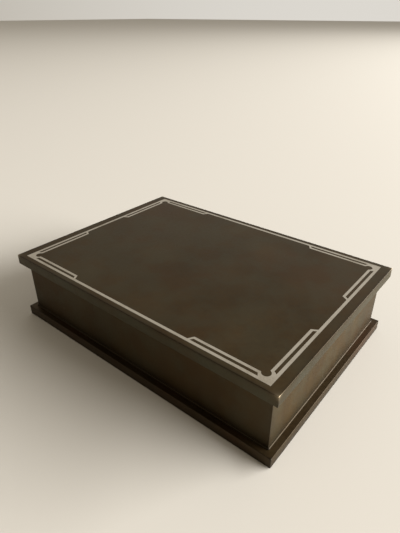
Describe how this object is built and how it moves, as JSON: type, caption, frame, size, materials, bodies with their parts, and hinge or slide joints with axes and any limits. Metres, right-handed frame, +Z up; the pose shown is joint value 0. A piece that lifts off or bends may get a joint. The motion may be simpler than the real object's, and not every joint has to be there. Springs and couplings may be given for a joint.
{
  "type": "inlaid metal desk box",
  "caption": "Hinged, cedar-lined desk box of patinated bronze sheet with a silver border inlaid in its overhanging lid, on a flanged plinth.",
  "frame": {"origin": "on the table under the middle of the closed box, at the underside of the felt", "axes": "+X to the right along the box's length, +Y to the back (the hinge side), +Z up"},
  "size_m": [0.24, 0.168, 0.0575],
  "materials": {
    "bronze": "dark brown patina, satin lacquer",
    "silver": "worn satin silver",
    "cedar": "bare planed cedar",
    "felt": "pressed wool felt",
    "brass": "plain, slightly tarnished",
    "steel": "plain drawn wire"
  },
  "bodies": {
    "box": {"plinth_pan": "bronze", "foot_bead": "bronze", "body_band": "bronze", "base_board": "cedar", "base_felt": "felt", "base_screws": "brass", "floor_lining": "cedar", "front_lining": "cedar", "back_lining": "cedar", "left_lining": "cedar", "right_lining": "cedar", "lining_brads": "steel", "hinge_body_leaf": "brass", "hinge_pin": "steel"},
    "lid": {"lid_pan": "bronze", "silver_border": "silver", "lid_board": "cedar", "hinge_lid_leaf": "brass"}
  },
  "joints": [
    {"name": "lid_hinge", "type": "hinge", "parent": "box", "child": "lid", "pos_m": [0, 0.08065, 0.0511], "axis": [-1, 0, 0], "range_deg": [0, 100]}
  ]
}
